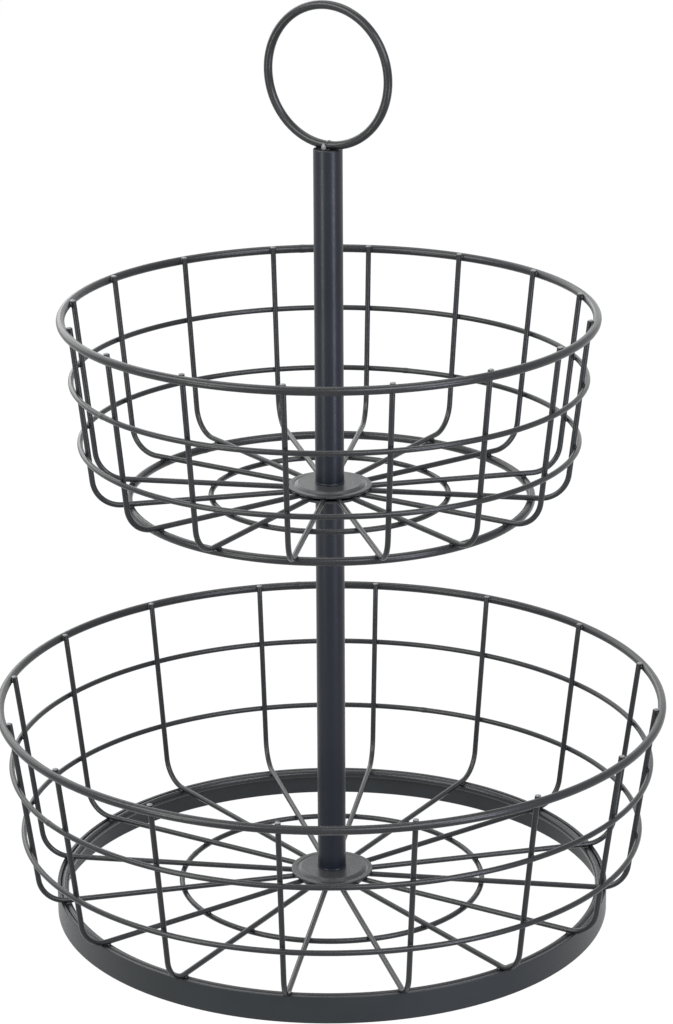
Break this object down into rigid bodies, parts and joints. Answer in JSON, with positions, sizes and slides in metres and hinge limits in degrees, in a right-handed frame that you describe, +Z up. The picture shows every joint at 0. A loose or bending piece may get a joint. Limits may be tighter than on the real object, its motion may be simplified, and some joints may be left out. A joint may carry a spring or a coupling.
{
  "type": "tiered wire basket",
  "caption": "Tiered round wire basket on a central screwed pole, with a ring handle on top and a flat band foot.",
  "frame": {"origin": "on the pole's axis, on the surface that the foot band stands on", "axes": "+Z up along the pole; the picture looks along +Y from the front, with +X to its right"},
  "size_m": [0.3008, 0.3008, 0.4135],
  "materials": {
    "coated_wire": "satin black powder coat on round steel wire",
    "coated_band": "satin black powder coat on flat steel strip",
    "coated_sheet": "satin black powder coat on pressed sheet",
    "coated_tube": "satin black powder coat on round steel tube",
    "zinc_plated_steel": "bright zinc plate on M6 hardware"
  },
  "bodies": {
    "lower_basket": {"lower_rim": "coated_wire", "lower_wall_ring_top": "coated_wire", "lower_wall_ring_bottom": "coated_wire", "lower_floor_ring": "coated_wire", "lower_rib_01": "coated_wire", "lower_rib_02": "coated_wire", "lower_rib_03": "coated_wire", "lower_rib_04": "coated_wire", "lower_rib_05": "coated_wire", "lower_rib_06": "coated_wire", "lower_rib_07": "coated_wire", "lower_rib_08": "coated_wire", "lower_rib_09": "coated_wire", "lower_rib_10": "coated_wire", "lower_rib_11": "coated_wire", "lower_rib_12": "coated_wire", "lower_rib_13": "coated_wire", "lower_rib_14": "coated_wire", "lower_rib_15": "coated_wire", "lower_rib_16": "coated_wire", "lower_hub_disc": "coated_sheet", "lower_hub_plate": "coated_sheet", "lower_foot_band": "coated_band", "lower_foot_inner_ring": "coated_wire"},
    "lower_pole": {"lower_pole_tube": "coated_tube", "lower_pole_foot_nut": "zinc_plated_steel", "lower_pole_head_plug": "zinc_plated_steel", "joining_stud": "zinc_plated_steel"},
    "upper_basket": {"upper_rim": "coated_wire", "upper_wall_ring_top": "coated_wire", "upper_wall_ring_bottom": "coated_wire", "upper_floor_ring": "coated_wire", "upper_rib_01": "coated_wire", "upper_rib_02": "coated_wire", "upper_rib_03": "coated_wire", "upper_rib_04": "coated_wire", "upper_rib_05": "coated_wire", "upper_rib_06": "coated_wire", "upper_rib_07": "coated_wire", "upper_rib_08": "coated_wire", "upper_rib_09": "coated_wire", "upper_rib_10": "coated_wire", "upper_rib_11": "coated_wire", "upper_rib_12": "coated_wire", "upper_rib_13": "coated_wire", "upper_rib_14": "coated_wire", "upper_rib_15": "coated_wire", "upper_rib_16": "coated_wire", "upper_hub_disc": "coated_sheet", "upper_hub_plate": "coated_sheet", "upper_foot_ring": "coated_wire"},
    "upper_pole": {"upper_pole_tube": "coated_tube", "upper_pole_foot_nut": "zinc_plated_steel", "pole_cap": "coated_tube", "handle_ring": "coated_wire"},
    "base_washer": {"base_washer": "zinc_plated_steel"},
    "base_screw": {"base_screw": "zinc_plated_steel"}
  },
  "joints": [
    {"name": "lower_pole_turn", "type": "hinge", "parent": "lower_basket", "child": "lower_pole", "pos_m": [0, 0, 0], "axis": [0, 0, 1], "continuous": true},
    {"name": "upper_basket_lift", "type": "slide", "parent": "lower_pole", "child": "upper_basket", "axis": [0, 0, 1], "range_m": [0, 0.009]},
    {"name": "upper_pole_unscrew", "type": "hinge", "parent": "upper_basket", "child": "upper_pole", "pos_m": [0, 0, 0], "axis": [0, 0, 1], "range_deg": [0, 3240.01]},
    {"name": "base_washer_drop", "type": "slide", "parent": "lower_pole", "child": "base_washer", "axis": [0, 0, -1], "range_m": [0, 0.006]},
    {"name": "base_screw_unscrew", "type": "hinge", "parent": "base_washer", "child": "base_screw", "pos_m": [0, 0, 0], "axis": [0, 0, -1], "range_deg": [0, 2160.01]}
  ],
  "couplings": [
    {"joint": "upper_pole_unscrew", "follows": "upper_basket_lift", "rad_per_m": 6283.2},
    {"joint": "base_screw_unscrew", "follows": "base_washer_drop", "rad_per_m": 6283.2}
  ]
}
